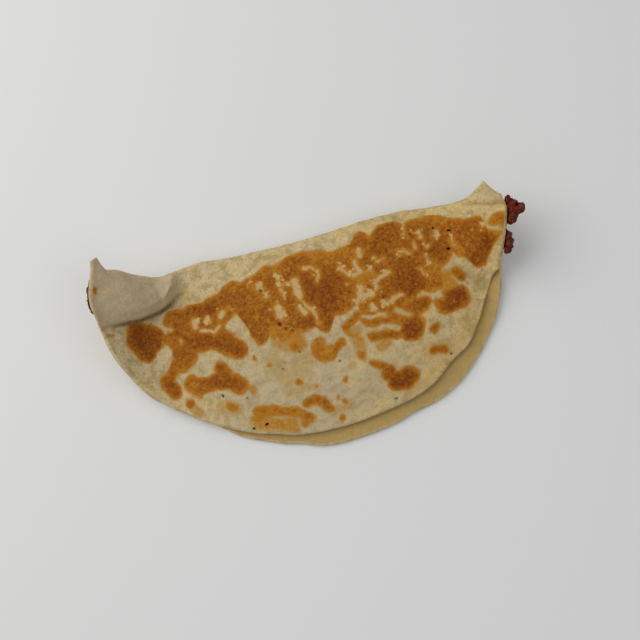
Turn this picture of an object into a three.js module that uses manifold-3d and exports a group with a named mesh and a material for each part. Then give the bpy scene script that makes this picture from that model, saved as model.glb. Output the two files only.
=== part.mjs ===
// A flour tortilla folded in half over spiced ground meat and toasted in a pan, with both ends curled up.
// Millimetres. X runs along the fold, Y points from the open curved edge to the fold, Z is up.
//
// The shape is first described flat, as (u, v, h): u along the fold, v across it (0 at the fold, negative
// towards the open edge) and h up from the underside. Then one map curls it up outside a round nest.

import * as THREE from 'three';
import { mergeVertices } from 'three/addons/utils/BufferGeometryUtils.js';
import Module from 'manifold-3d';

const wasm = await Module();
wasm.setup();

// Driving sizes
const SHEET = 2;                       // thickness of the tortilla
const CLEAR = 0.6;                     // least gap between the tortilla and the crumbs of the filling
const CLEAR_STEP = 0.05;               // each crumb's gap is larger than the last one's by this much
const FILLING_CLEAR = 0.8;             // gap between the tortilla and the body of the filling
const RIM_GAP = 0.8;                   // gap between the two rims where they lie together
const FILLING_HEIGHT = 6.6;            // thickest part of the filling
const FILLING_INSET = 13;              // from the upper rim back to the filling
const LEAST_REACH = 0.55;              // near the tips the filling still reaches this share of the depth

// The rounded fold: its outside height, and how it gets lower towards the ends
const FOLD = { height: 10, lower: 1.5, from: 50, to: 95 };

// How the filling's height grows from the rim inwards: half of it soon, the rest slowly
const BULGE = { rim: 1, soon: 22, slowly: 70 };
const FOLD_BLEND = 20;                 // over this far from the fold the height comes from the fold's own

// Each layer is half an oval: where its middle lies on the fold, its half length and its depth
const UPPER = { middle: -4.5, halfLength: 104.5, depth: 86.5 };
const LOWER = { middle: -4, halfLength: 99.5, depth: 93 };

// Where the rims leave the ovals: at u, by so much outwards, over so wide a stretch
const UPPER_WAVES = [
  { u: -70, out: -3.8, width: 32 },
  { u: 52, out: -3.4, width: 9 },
  { u: 79, out: -14, width: 15 },
  { u: 80, out: -3, width: 6 },
];
const LOWER_WAVES = [
  { u: -66, out: -8, width: 21 },
  { u: -32, out: -3, width: 16 },
  { u: 50, out: 2.5, width: 14 },
  { u: 88, out: -11, width: 8 },
];

// The nest that the ends curl up in: a flat round floor, an arc and a straight slope
const NEST = { v: -47.8, floor: 68, arc: 28, slope: 48 * Math.PI / 180 };

// The crease at the left end, and the puffed flap between it and the fold
const CREASE = { start: -54.5, runUp: 12, depth: 17, turn: 7, drift: 0.08, driftFrom: -80 };
const FLAP = {
  rise: 5.5,
  foot: 1.5,
  trough: 1.2,
  troughWidth: 4,
  fadeAtFold: 8,
  full: { from: -52, to: -70 },
  flatter: { by: 0.8, from: -90, to: -106 },
  lowAtFold: { by: 0.5, from: -8, to: 6 },
  shoulder: { soft: 13, firm: 6, from: -58, to: -72 },
};

// Small folds and valleys of the top, each along a straight line
const PLEATS = [
  { from: [-78, 0], to: [-72.3, -12.2], rise: -0.9, width: 2.6 },
  { from: [-61.6, 2], to: [-70.5, -12], rise: 1.0, width: 3.6 },
  { from: [69, -35.8], to: [83, -44.7], rise: -1.5, width: 4.5 },
];

// Where the fold's edge leaves a straight line
const FOLD_BOWS = [
  { u: 46, out: 2.3, width: 34 },
  { u: -51, out: 1.9, width: 13 },
];
const LEFT_FLARE = { from: -67, to: -98, out: 8 };
const EAR = { u: -105.4, out: 10, before: 35, after: 7, narrowing: 2 };
const DOG_EAR = { u: 89.5, out: 9.4, before: 15.5, after: 4.8, narrowing: 3, inside: 0.5 };
const UPPER_PULL = { from: 78, to: 101, back: 7 };

// Where the two ends leave a straight line: moved along u by so much at v, growing to that between two places
const END_WAVES = [
  { from: 80, to: 95, v: -8, along: 2.0, width: 8 },
  { from: 76, to: 95, v: -31, along: -3.2, width: 9 },
  { from: -88, to: -106, v: 12, along: 3.0, width: 9 },
  { from: -88, to: -106, v: -7, along: -1.6, width: 8 },
  { from: -84, to: -100, v: -22, along: 1.4, width: 9 },
];

// How far the filling keeps under the valley at the right end, and from where
const UNDER_VALLEY = { by: 1.2, from: 60, to: 75 };

// The open mouths at the two ends: how far they gape, and over what size of patch
const MOUTHS = [
  { u: 98, v: -13, gape: 4, width: 15 },
  { u: -106, v: -7, gape: 2.4, width: 13 },
];

// Broad swells and dents of the top
const SWELLS = [
  { u: 84, v: -20, rise: 0.9, width: 11 },
  { u: -30, v: -30, rise: 0.7, width: 22 },
  { u: 25, v: -28, rise: 0.8, width: 24 },
  { u: -5, v: -52, rise: -0.6, width: 16 },
  { u: 48, v: -56, rise: -0.5, width: 12 },
  { u: -62, v: -40, rise: 0.6, width: 14 },
];

// Crumbs of meat that show in the mouths: place in the flat shape and radius
const CRUMBS = [
  { u: 99.6, v: -6.9, h: 5.2, radius: 2.4 },
  { u: 101.4, v: -8.9, h: 5.0, radius: 2.5 },
  { u: 104, v: -12.6, h: 4.8, radius: 2.6 },
  { u: 101, v: -11.7, h: 5.0, radius: 3.0 },
  { u: 99.4, v: -14.6, h: 4.6, radius: 2.7 },
  { u: 97.3, v: -10.2, h: 5.2, radius: 3.2 },
  { u: 94.9, v: -14.3, h: 4.6, radius: 3.2 },
  { u: 95.7, v: -22.3, h: 4.0, radius: 2.5 },
  { u: 96.6, v: -25.4, h: 3.8, radius: 2.3 },
  { u: 95.4, v: -28, h: 3.6, radius: 2.2 },
  { u: 93.8, v: -24, h: 4.0, radius: 2.9 },
  { u: 93.6, v: -19.6, h: 4.2, radius: 2.6 },
  { u: -104.6, v: -6.6, h: 4.0, radius: 1.7 },
  { u: -104.7, v: -9, h: 4.0, radius: 1.8 },
  { u: -104.8, v: -11.4, h: 3.8, radius: 1.6 },
  { u: -102.4, v: -8.6, h: 4.0, radius: 2.3 },
];
const CRUMB_UNEVENNESS = 0.22;
const CRUMB_SEED = 7;
const PAST_RIM = 1.2;                  // how far past a rim the crumbs still keep clear of it
const LEAST_EDGE = 0.02;               // shorter edges, left by the joining, are taken out

// Mesh steps
const STATIONS = 50;
const TIP_ANGLE = 84 * Math.PI / 180;
const TIP_CROWDING = 0.6;
const LOWER_STEPS = 8;
const FOLD_STEPS = 7;
const CREASE_STEPS = 8;
const FRONT_STEPS = 12;
const FILLING_STEPS = { stations: 26, tip: 79 * Math.PI / 180, lower: 5, fold: 4, upper: 7 };

// The fraction of a section at which its steps change over from fold to front, at the crease if there is one
const CHANGE_OVER = { plain: 0.32, guess: 0.35, least: 0.2, most: 0.6, from: -54, to: -66 };

// The origin is the middle of the footprint
const FOOTPRINT_MIDDLE = { x: -0.2, y: -44 };

function mix(a, b, t) {
  return a + (b - a) * t;
}

function clamp(value, low = 0, high = 1) {
  return Math.min(high, Math.max(low, value));
}

function smooth(from, to, value) {
  const t = clamp((value - from) / (to - from));
  return t * t * (3 - 2 * t);
}

function bell(offset, width) {
  return Math.exp(-((offset / width) ** 2));
}

// A peak with straight sides, of height 1 at the middle
function peak(value, middle, before, after) {
  const side = value < middle ? before : after;
  return Math.max(0, 1 - Math.abs(value - middle) / side);
}

// Distance from a point to a line's stretch
function lineDistance(u, v, [fromU, fromV], [toU, toV]) {
  const [du, dv] = [toU - fromU, toV - fromV];
  const along = clamp(((u - fromU) * du + (v - fromV) * dv) / (du * du + dv * dv));
  return Math.hypot(u - fromU - along * du, v - fromV - along * dv);
}

// A layer's place on the fold and its depth from fold to rim, at a station from -1 to 1
function layerAt(layer, waves, station) {
  const u = layer.middle + layer.halfLength * station;
  let depth = layer.depth * Math.sqrt(1 - station * station);
  const room = 1 - station ** 8;
  for (const wave of waves) {
    depth += wave.out * room * bell(u - wave.u, wave.width);
  }
  return { u, depth };
}

function foldHeight(u) {
  return FOLD.height - FOLD.lower * smooth(FOLD.from, FOLD.to, Math.abs(u));
}

// How far the fold's edge stands out from a straight line; side is 0 at its bottom and 1 at its top.
// The inner face follows the dog-ear only in part, and the filling doesn't reach into the two ears.
function foldShift(u, side, inset, isFilling) {
  const bow = FOLD_BOWS.reduce((sum, wave) => sum + wave.out * bell(u - wave.u, wave.width), 0);
  const flare = LEFT_FLARE.out * smooth(LEFT_FLARE.from, LEFT_FLARE.to, u);
  const pull = UPPER_PULL.back * side * smooth(UPPER_PULL.from, UPPER_PULL.to, u);
  if (isFilling) {
    return bow + flare - pull;
  }
  const ear = EAR.out * side * peak(u, EAR.u, EAR.before, EAR.after) ** EAR.narrowing;
  const share = inset > 0 ? DOG_EAR.inside : 1;
  const lowness = (1 - side) ** DOG_EAR.narrowing;
  const dogEar = DOG_EAR.out * share * lowness * peak(u, DOG_EAR.u, DOG_EAR.before, DOG_EAR.after);
  return bow + flare + ear + dogEar - pull;
}

// Where the crease runs: it leaves the fold and turns to run beside it
function creaseLine(u) {
  const along = Math.max(-CREASE.runUp, CREASE.start - u);
  const drift = CREASE.drift * Math.max(0, CREASE.driftFrom - u);
  return -CREASE.depth * (1 - Math.exp(-along / CREASE.turn)) - drift;
}

// Distance from the crease, positive on the flap's side
function creaseDistance(u, v) {
  const along = Math.max(-CREASE.runUp, CREASE.start - u);
  const steep = CREASE.depth / CREASE.turn * Math.exp(-along / CREASE.turn);
  return (v - creaseLine(u)) / Math.hypot(1, steep);
}

// The height that the flap adds: a shoulder that rises from the crease, with a trough in front of it
function flapRelief(u, v) {
  const { full, flatter, lowAtFold, shoulder } = FLAP;
  const distance = creaseDistance(u, v);
  const strength = smooth(full.from, full.to, u) * (1 - flatter.by * smooth(flatter.from, flatter.to, u));
  const width = mix(shoulder.soft, shoulder.firm, smooth(shoulder.from, shoulder.to, u));
  const towardsFold = 1 - lowAtFold.by * smooth(lowAtFold.from, lowAtFold.to, v);
  const puff = FLAP.rise * towardsFold * smooth(-FLAP.foot, width, distance);
  return (puff - FLAP.trough * bell(distance + FLAP.foot, FLAP.troughWidth)) * strength;
}

// Height of the top of the upper layer, at a station and a fraction of the way from fold to rim.
// The filling keeps under the valleys of the top and doesn't rise into its flap and pleats.
function topHeight(station, fraction, u, v, fromFold, isFilling) {
  const reach = Math.sqrt(station ** 2 + fraction ** 2 * (1 - station ** 2));
  const inside = (1 - reach) * UPPER.depth;
  const body = (smooth(BULGE.rim, BULGE.soon, inside) + smooth(0, BULGE.slowly, inside)) / 2;
  let height = 2 * SHEET + RIM_GAP + FILLING_HEIGHT * body;
  for (const mouth of MOUTHS) {
    height += mouth.gape * bell(Math.hypot(u - mouth.u, v - mouth.v), mouth.width);
  }
  height = mix(foldHeight(u), height, smooth(0, FOLD_BLEND, fromFold));
  for (const swell of SWELLS) {
    height += swell.rise * bell(Math.hypot(u - swell.u, v - swell.v), swell.width);
  }
  if (isFilling) {
    const underTrough = FLAP.trough * smooth(FLAP.full.from, FLAP.full.to, u);
    return height - underTrough - UNDER_VALLEY.by * smooth(UNDER_VALLEY.from, UNDER_VALLEY.to, u);
  }
  for (const pleat of PLEATS) {
    height += pleat.rise * bell(lineDistance(u, v, pleat.from, pleat.to), pleat.width);
  }
  return height + flapRelief(u, v) * smooth(0, FLAP.fadeAtFold, fromFold);
}

// The nest's curl, applied to a point of the flat shape
function curl(straightU, v, h) {
  let u = straightU;
  for (const wave of END_WAVES) {
    u += wave.along * smooth(wave.from, wave.to, straightU) * bell(v - wave.v, wave.width);
  }
  const across = v - NEST.v;
  const flat = Math.hypot(u, across);
  const turn = clamp((flat - NEST.floor) / NEST.arc, 0, NEST.slope);
  const straight = Math.max(0, flat - NEST.floor - NEST.arc * NEST.slope);
  const out = Math.min(flat, NEST.floor) + (NEST.arc - h) * Math.sin(turn) + straight * Math.cos(turn);
  const up = NEST.arc * (1 - Math.cos(turn)) + straight * Math.sin(turn) + h * Math.cos(turn);
  const scale = flat > 0 ? out / flat : 1;
  return [u * scale, NEST.v + across * scale, up];
}

// A point of the folded sheet, or of the filling in it, set in from the sheet's outer skin
function sheetPoint(station, place, inset, isFilling = false) {
  const upper = layerAt(UPPER, UPPER_WAVES, station);
  const lower = layerAt(LOWER, LOWER_WAVES, station);
  const radius = foldHeight(upper.u) / 2;
  if (place.layer === 'lower') {
    const shift = foldShift(lower.u, 0, inset, isFilling) * (1 - place.fraction) ** 2;
    return curl(lower.u, shift - mix(radius, lower.depth, place.fraction), inset);
  }
  if (place.layer === 'upper') {
    const fromFold = mix(radius, upper.depth, place.fraction);
    const v = foldShift(upper.u, 1, inset, isFilling) * (1 - place.fraction) ** 2 - fromFold;
    return curl(upper.u, v, topHeight(station, place.fraction, upper.u, v, fromFold, isFilling) - inset);
  }
  const side = (1 + Math.sin(place.angle)) / 2;
  const topEdge = foldShift(upper.u, 1, inset, isFilling) - radius;
  const top = topHeight(station, 0, upper.u, topEdge, radius, isFilling);
  const bulge = (radius - inset) * Math.cos(place.angle);
  const lowerShift = foldShift(lower.u, side, inset, isFilling);
  const upperShift = foldShift(upper.u, side, inset, isFilling);
  const shift = mix(lowerShift, upperShift, side);
  return curl(mix(lower.u, upper.u, side), shift - radius + bulge, mix(inset, top - inset, side));
}

// The fraction of the way from fold to rim at which a station meets the crease, or a plain one beyond it
function creaseFraction(station) {
  const { u, depth } = layerAt(UPPER, UPPER_WAVES, station);
  const radius = foldHeight(u) / 2;
  const shift = foldShift(u, 1, 0, false) * (1 - CHANGE_OVER.guess) ** 2;
  const fraction = (shift - creaseLine(u) - radius) / (depth - radius);
  const met = clamp(fraction, CHANGE_OVER.least, CHANGE_OVER.most);
  return mix(CHANGE_OVER.plain, met, smooth(CHANGE_OVER.from, CHANGE_OVER.to, u));
}

// The places along a section, from the lower rim round the fold to the upper rim
function sectionPlaces(station) {
  const places = [];
  for (let i = 0; i < LOWER_STEPS; i += 1) {
    places.push({ layer: 'lower', fraction: 1 - i / LOWER_STEPS });
  }
  for (let i = 0; i <= FOLD_STEPS; i += 1) {
    places.push({ layer: 'fold', angle: mix(-Math.PI / 2, Math.PI / 2, i / FOLD_STEPS) });
  }
  const crease = creaseFraction(station);
  for (let i = 1; i <= CREASE_STEPS; i += 1) {
    places.push({ layer: 'upper', fraction: crease * i / CREASE_STEPS });
  }
  for (let i = 1; i <= FRONT_STEPS; i += 1) {
    places.push({ layer: 'upper', fraction: mix(crease, 1, i / FRONT_STEPS) });
  }
  return places;
}

// A closed solid from rings of points, all of one length; pairs lists the points that each end cap joins
function solidFromRings(rings, pairs) {
  const size = rings[0].length;
  const indices = [];
  const quad = (a, b, c, d) => indices.push(a, b, c, a, c, d);
  for (let i = 0; i + 1 < rings.length; i += 1) {
    for (let j = 0; j < size; j += 1) {
      const next = (j + 1) % size;
      quad(i * size + j, i * size + next, (i + 1) * size + next, (i + 1) * size + j);
    }
  }
  const last = (rings.length - 1) * size;
  for (let k = 0; k + 1 < pairs.length; k += 1) {
    const [a, b] = pairs[k];
    const [c, d] = pairs[k + 1];
    if (c === d) {
      indices.push(a, b, c, last + a, last + c, last + b);
    } else {
      quad(a, b, d, c);
      quad(last + a, last + c, last + d, last + b);
    }
  }
  const geometry = new THREE.BufferGeometry();
  geometry.setAttribute('position', new THREE.Float32BufferAttribute(rings.flat(2), 3));
  geometry.setIndex(indices);
  return geometry;
}

// Stations from tip to tip, somewhat closer together towards the tips
function stationAt(index, count, tip) {
  const t = mix(-1, 1, index / (count - 1));
  return mix(t * Math.sin(tip), Math.sin(t * tip), TIP_CROWDING);
}

// The tortilla, folded
function foldedSheet() {
  const rings = [];
  for (let i = 0; i < STATIONS; i += 1) {
    const station = stationAt(i, STATIONS, TIP_ANGLE);
    const places = sectionPlaces(station);
    const outer = places.map((place) => sheetPoint(station, place, 0));
    const inner = places.map((place) => sheetPoint(station, place, SHEET));
    rings.push([...outer, ...inner.reverse()]);
  }
  const count = rings[0].length;
  const pairs = [];
  for (let k = 0; k < count / 2; k += 1) {
    pairs.push([k, count - 1 - k]);
  }
  return solidFromRings(rings, pairs);
}

// The places along a section of the filling, which lies back from the rims
function fillingPlaces(station) {
  const { depth } = layerAt(UPPER, UPPER_WAVES, station);
  const reach = Math.max(LEAST_REACH, 1 - FILLING_INSET / depth);
  const places = [];
  for (let i = 0; i < FILLING_STEPS.lower; i += 1) {
    places.push({ layer: 'lower', fraction: reach * (1 - i / FILLING_STEPS.lower) });
  }
  for (let i = 0; i <= FILLING_STEPS.fold; i += 1) {
    places.push({ layer: 'fold', angle: mix(-Math.PI / 2, Math.PI / 2, i / FILLING_STEPS.fold) });
  }
  for (let i = 1; i <= FILLING_STEPS.upper; i += 1) {
    places.push({ layer: 'upper', fraction: reach * i / FILLING_STEPS.upper });
  }
  return places;
}

// The body of the filling: the space inside the fold, with a gap all round
function fillingCore() {
  const rings = [];
  const inset = SHEET + FILLING_CLEAR;
  for (let i = 0; i < FILLING_STEPS.stations; i += 1) {
    const station = stationAt(i, FILLING_STEPS.stations, FILLING_STEPS.tip);
    rings.push(fillingPlaces(station).map((place) => sheetPoint(station, place, inset, true)));
  }
  const count = rings[0].length;
  const pairs = [];
  for (let k = 0; k <= count - 1 - k; k += 1) {
    pairs.push([k, count - 1 - k]);
  }
  return solidFromRings(rings, pairs);
}

// A seeded source of numbers from 0 to 1
function seededNumbers(seed) {
  let state = seed;
  return () => {
    state = (state * 1664525 + 1013904223) % 4294967296;
    return state / 4294967296;
  };
}

// The room between the layers at a place, with a gap to each of them
function roomAt(u, v, gap) {
  const lower = layerAt(LOWER, LOWER_WAVES, clamp((u - LOWER.middle) / LOWER.halfLength, -1, 1));
  const station = clamp((u - UPPER.middle) / UPPER.halfLength, -1, 1);
  const upper = layerAt(UPPER, UPPER_WAVES, station);
  const radius = foldHeight(upper.u) / 2;
  const onLower = Math.abs(u - lower.u) < PAST_RIM && -v < lower.depth + PAST_RIM;
  const underUpper = Math.abs(u - upper.u) < PAST_RIM && -v < upper.depth + PAST_RIM;
  const fraction = upper.depth > radius ? clamp((-v - radius) / (upper.depth - radius)) : 1;
  return {
    floor: onLower ? SHEET + gap : -Infinity,
    ceiling: underUpper ? topHeight(station, fraction, u, v, -v, true) - SHEET - gap : Infinity,
  };
}

// A lump of ground meat, flattened where it meets the layers
function crumb(place, gap, next) {
  const ball = new THREE.IcosahedronGeometry(place.radius, 1);
  ball.deleteAttribute('normal');
  ball.deleteAttribute('uv');
  const lump = mergeVertices(ball, 0.001);
  const positions = lump.attributes.position;
  for (let i = 0; i < positions.count; i += 1) {
    const scale = 1 + CRUMB_UNEVENNESS * (2 * next() - 1);
    const u = place.u + positions.getX(i) * scale;
    const v = place.v + positions.getY(i) * scale;
    const room = roomAt(u, v, gap);
    const h = clamp(place.h + positions.getZ(i) * scale, room.floor, room.ceiling);
    positions.setXYZ(i, ...curl(u, v, h));
  }
  return lump;
}

function toManifold(geometry) {
  return new wasm.Manifold(new wasm.Mesh({
    numProp: 3,
    vertProperties: Float32Array.from(geometry.attributes.position.array),
    triVerts: Uint32Array.from(geometry.index.array),
  }));
}

function fromManifold(solid) {
  const mesh = solid.getMesh();
  const geometry = new THREE.BufferGeometry();
  geometry.setAttribute('position', new THREE.Float32BufferAttribute(mesh.vertProperties, 3));
  geometry.setIndex(Array.from(mesh.triVerts));
  return geometry;
}

// The filling with its crumbs fused on. Only the outer skin is kept, so no hollow is left between crumbs.
function fillingSolid() {
  const next = seededNumbers(CRUMB_SEED);
  const lumps = CRUMBS.map((place, i) => toManifold(crumb(place, CLEAR + CLEAR_STEP * i, next)));
  const fused = lumps.reduce((solid, lump) => solid.add(lump), toManifold(fillingCore()));
  const skin = fused.decompose().reduce((best, piece) => (piece.volume() > best.volume() ? piece : best));
  return skin.simplify(LEAST_EDGE);
}

function makeMesh(name, geometry, material) {
  const mesh = new THREE.Mesh(geometry, material);
  mesh.name = name;
  return mesh;
}

const dough = new THREE.MeshStandardMaterial({ color: 0xd9c29a, roughness: 0.8, metalness: 0 });
const meat = new THREE.MeshStandardMaterial({ color: 0x7a2f1a, roughness: 0.4, metalness: 0 });

const quesadilla = new THREE.Group();
quesadilla.add(makeMesh('tortilla', foldedSheet(), dough));
quesadilla.add(makeMesh('filling', fromManifold(fillingSolid()), meat));
quesadilla.position.set(-FOOTPRINT_MIDDLE.x, -FOOTPRINT_MIDDLE.y, 0);

export default quesadilla;
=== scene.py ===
"""A quesadilla: a flour tortilla folded in half over ground meat, toasted in a pan, with both ends curled up.

The shape is worked out in millimetres, flat, as (u, v, h): u along the fold, v across it (0 at the fold and
negative towards the open edge) and h up from the underside. One map then curls it up outside a round nest,
and the points go to Blender in metres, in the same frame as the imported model.
"""
import itertools
import math

import bmesh
import bpy
import numpy as np
from mathutils import Euler, Matrix, Vector


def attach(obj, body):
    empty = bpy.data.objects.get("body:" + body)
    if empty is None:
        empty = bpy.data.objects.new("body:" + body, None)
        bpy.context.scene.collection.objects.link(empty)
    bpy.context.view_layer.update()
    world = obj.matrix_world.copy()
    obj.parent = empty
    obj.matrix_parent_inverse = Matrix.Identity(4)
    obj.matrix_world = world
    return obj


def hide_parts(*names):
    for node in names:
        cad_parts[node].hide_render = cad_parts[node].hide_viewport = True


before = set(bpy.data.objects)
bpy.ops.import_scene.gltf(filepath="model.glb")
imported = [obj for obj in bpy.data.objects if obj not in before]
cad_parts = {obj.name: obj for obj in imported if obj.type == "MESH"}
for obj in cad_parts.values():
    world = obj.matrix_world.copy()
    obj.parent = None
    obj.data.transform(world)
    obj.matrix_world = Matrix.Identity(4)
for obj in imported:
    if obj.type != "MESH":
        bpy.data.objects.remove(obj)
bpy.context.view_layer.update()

MM = 0.001
TINY = 1e-9
QUARTER_TURN = math.pi / 2

# Driving sizes, the same as the solids have
SHEET = 2.0
RIM_GAP = 0.8
CLEAR = 0.6
FILLING_CLEAR = 0.8
FILLING_HEIGHT = 6.6
FILLING_INSET = 13.0
LEAST_REACH = 0.55
FOLD = {"height": 10, "lower": 1.5, "span": (50, 95)}
BULGE = {"rim": 1, "soon": 22, "slowly": 70}
FOLD_BLEND = 20.0
# Powers by which the rims' waves fade at the tips, and their wobble away from the rims
WAVE_FADE = 8
WOBBLE_FADE = 6
# The two layers of the sheet, and the waves of their rims: u, how far out and width
UPPER = {
    "middle": -4.5, "half_length": 104.5, "depth": 86.5,
    "waves": [(-70, -3.8, 32), (52, -3.4, 9), (79, -14, 15), (80, -3, 6)],
}
LOWER = {
    "middle": -4, "half_length": 99.5, "depth": 93,
    "waves": [(-66, -8, 21), (-32, -3, 16), (50, 2.5, 14), (88, -11, 8)],
}
NEST = {"v": -47.8, "floor": 68, "arc": 28, "slope": math.radians(48)}
CREASE = {"start": -54.5, "run_up": 12, "depth": 17, "turn": 7, "drift": 0.08, "drift_from": -80}
FLAP = {
    "rise": 5.5, "foot": 1.5, "trough": 1.2, "trough_width": 4, "fade_at_fold": 8,
    "full": (-52, -70), "flatter": (0.8, -90, -106), "low_at_fold": (0.5, -8, 6),
    "shoulder": (13, 6, -58, -72),
}
# Pleats: start, end, rise and width
PLEATS = [
    ((-78, 0), (-72.3, -12.2), -0.9, 2.6),
    ((-61.6, 2), (-70.5, -12), 1.0, 3.6),
    ((69, -35.8), (83, -44.7), -1.5, 4.5),
]
# Bows of the fold: u, how far out and width
FOLD_BOWS = [(46, 2.3, 34), (-51, 1.9, 13)]
LEFT_FLARE = {"span": (-67, -98), "out": 8}
EAR = {"u": -105.4, "out": 10, "before": 35, "after": 7, "narrowing": 2}
DOG_EAR = {"u": 89.5, "out": 9.4, "before": 15.5, "after": 4.8, "narrowing": 3, "inside": 0.5}
UPPER_PULL = {"span": (78, 101), "back": 7}
# Waves of the ends: the start and end along the fold, v, how far along the fold and width
END_WAVES = [
    (80, 95, -8, 2.0, 8), (76, 95, -31, -3.2, 9), (-88, -106, 12, 3.0, 9), (-88, -106, -7, -1.6, 8),
    (-84, -100, -22, 1.4, 9),
]
UNDER_VALLEY = {"by": 1.2, "span": (60, 75)}
# Bumps of the top: u, v, rise and width
MOUTHS = [(98, -13, 4, 15), (-106, -7, 2.4, 13)]
SWELLS = [
    (84, -20, 0.9, 11), (-30, -30, 0.7, 22), (25, -28, 0.8, 24), (-5, -52, -0.6, 16), (48, -56, -0.5, 12),
    (-62, -40, 0.6, 14),
]
FOOTPRINT_MIDDLE = (-0.2, -44)
TIP_ANGLE = math.radians(84)
TIP_CROWDING = 0.6

# The flap hangs over its crease by this much, most a little way up its side, and a groove runs below it
OVERHANG = {"by": 1.7, "at": 2.0, "width": 1.6}
GROOVE = {"by": 1.5, "in_front": 0.6, "width": 0.9}
# Towards the fold the crease runs out into a soft shade, between these places along it
CREASE_FADE = (-57, -68)

# The dog-ear's fold line, at a share of the way up the fold's round (a dent, and a painted shade along it),
# and the flour on the ear beyond it
EAR_LINE = {"side": 0.8, "width": 0.09, "span": (76, 84), "deep": 0.8, "shade": 0.6}
EAR_FLOUR = {"u": 93, "side": 0.3, "width": (7, 0.35), "strength": 0.7}

# Kinds of noise, each with its size, height and shift
# Relief of the skin: lumps of the filling below, puffs of the dough and its grain
LUMPS = (12, 0.55, 2.0)
PUFFS = (4.5, 0.3, 4.0)
GRAIN = (1.7, 0.12, 6.0)
RIM_WOBBLE = (9, 0.5, 5.0)
WRINKLES = {"u": -2, "v": -58, "width": 26, "along": 5.0, "across": 1.5, "by": 0.3, "shift": 8.0}

# Mesh steps of the tortilla
STATIONS = 300
LOWER_STEPS = 46
FOLD_STEPS = 14
UPPER_STEPS = 165
INNER_LOWER_STEPS = 34
INNER_FOLD_STEPS = 6
INNER_UPPER_STEPS = 26
RIM_ROUND = 1.3
RIM_ARC = (60, 20, -20, -60)
TIP_SETBACKS = (0.0, 0.12, 0.45)
TIP_ROOM = 0.2
TIP_THINNESS = 0.35

NOISE_SEED = 20
NOISE_CELLS = 32
NOISE_START = 1000.0
# Rough noise is noise of these shares of its size and height, each with a shift of its own
ROUGH_SHARES = ((1, 0), (0.5, 7), (0.25, 13))
# Random shifts are drawn up to this, and noise of its own for a second rim or direction is this far off
SHIFTS = 20
APART = {"rims": 10, "directions": 50}

# The filling and its crumbs
FILLING_STATIONS = 120
FILLING_TIP = math.radians(78)
FILLING_STEPS = {"lower": 26, "fold": 8, "upper": 34}
FILLING_DIPS = [(3.2, 0.5, 11.0), (1.6, 0.3, 12.0)]
CRUMB_SEED = 5
CRUMB_BITS = {"each": 3, "spread": 0.6, "height": 0.6, "least": 0.35, "most": 0.5}
CRUMB_STRETCH = (0.75, 1.2)
# Bumps of a lump: how high and how close together, in shares of its radius
CRUMB_BUMPS = ((0.22, 1.6), (0.13, 4), (0.06, 9))
PAST_RIM = 1.2
ANY_HEIGHT = 1000
# The crumbs that poke out of the open ends: u, v, h and radius
MEAT_MOUTHS = [
    (99.6, -6.9, 5.2, 2.2), (101.4, -8.9, 5.0, 2.3), (104, -12.6, 4.8, 2.4), (101, -11.7, 5.0, 2.8),
    (99.4, -14.6, 4.6, 2.5), (97.3, -10.2, 5.2, 3.0), (94.9, -14.3, 4.6, 3.0), (95.7, -22.3, 4.0, 2.3),
    (96.6, -25.4, 3.8, 2.1), (95.4, -28, 3.6, 2.0), (93.8, -24, 4.0, 2.7), (93.6, -19.6, 4.2, 2.4),
    (-104.6, -6.6, 4.0, 1.5), (-104.7, -9, 4.0, 1.6), (-104.8, -11.4, 3.8, 1.4), (-102.4, -8.6, 4.0, 2.1),
]
# More crumbs over the filling's face at the left end, nearer to the fold
MEAT_AT_FOLD = [
    (-104.6, 3.0, 3.6, 1.5), (-104.8, 1.2, 4.4, 1.6), (-105.0, -1.0, 3.6, 1.7), (-104.9, -2.4, 4.6, 1.6),
    (-104.8, -4.4, 3.8, 1.7), (-104.6, -5.6, 4.8, 1.4),
]


def mix(a, b, t):
    return a + (b - a) * t


def places(*parts):
    """Points from arrays of their three coordinates."""
    return np.stack(np.broadcast_arrays(*parts), axis=-1)


def smooth(start, end, value):
    t = np.clip((value - start) / (end - start), 0, 1)
    return t * t * (3 - 2 * t)


def bell(offset, width):
    return np.exp(-((offset / width) ** 2))


def bumps(spots, u, v):
    return sum(rise * bell(np.hypot(u - spot_u, v - spot_v), width) for spot_u, spot_v, rise, width in spots)


def peak(u, ear):
    """A peak with straight sides, of height 1 at the ear's middle."""
    side = np.where(u < ear["u"], ear["before"], ear["after"])
    return np.maximum(0, 1 - np.abs(u - ear["u"]) / side)


def line_distance(u, v, start, end):
    du, dv = end[0] - start[0], end[1] - start[1]
    length = max(du * du + dv * dv, TINY)
    along = np.clip(((u - start[0]) * du + (v - start[1]) * dv) / length, 0, 1)
    return np.hypot(u - start[0] - along * du, v - start[1] - along * dv)


LATTICE = np.random.default_rng(NOISE_SEED).uniform(-1, 1, (NOISE_CELLS,) * 3)


def noise(points, size, shift=0.0):
    """Smooth noise from -1 to 1, with lumps of the given size, at points in mm."""
    place = points / size + shift + NOISE_START
    cell = np.floor(place).astype(int)
    part = place - cell
    part = part * part * (3 - 2 * part)
    total = 0.0
    for corner in itertools.product((0, 1), repeat=3):
        weight = np.prod(np.where(corner, part, 1 - part), axis=-1)
        index = (cell + corner) % NOISE_CELLS
        total = total + weight * LATTICE[index[..., 0], index[..., 1], index[..., 2]]
    return total


def rough(points, size, shift=0.0):
    """Noise of three sizes together."""
    return sum(share * noise(points, size * share, shift + more) for share, more in ROUGH_SHARES)


def noise_of(kind, points, more=0.0):
    """Noise of one kind, as high as that kind is."""
    size, height, shift = kind
    return height * noise(points, size, shift + more)


# The folded shape

def station_of(layer, u):
    return (u - layer["middle"]) / layer["half_length"]


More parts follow.
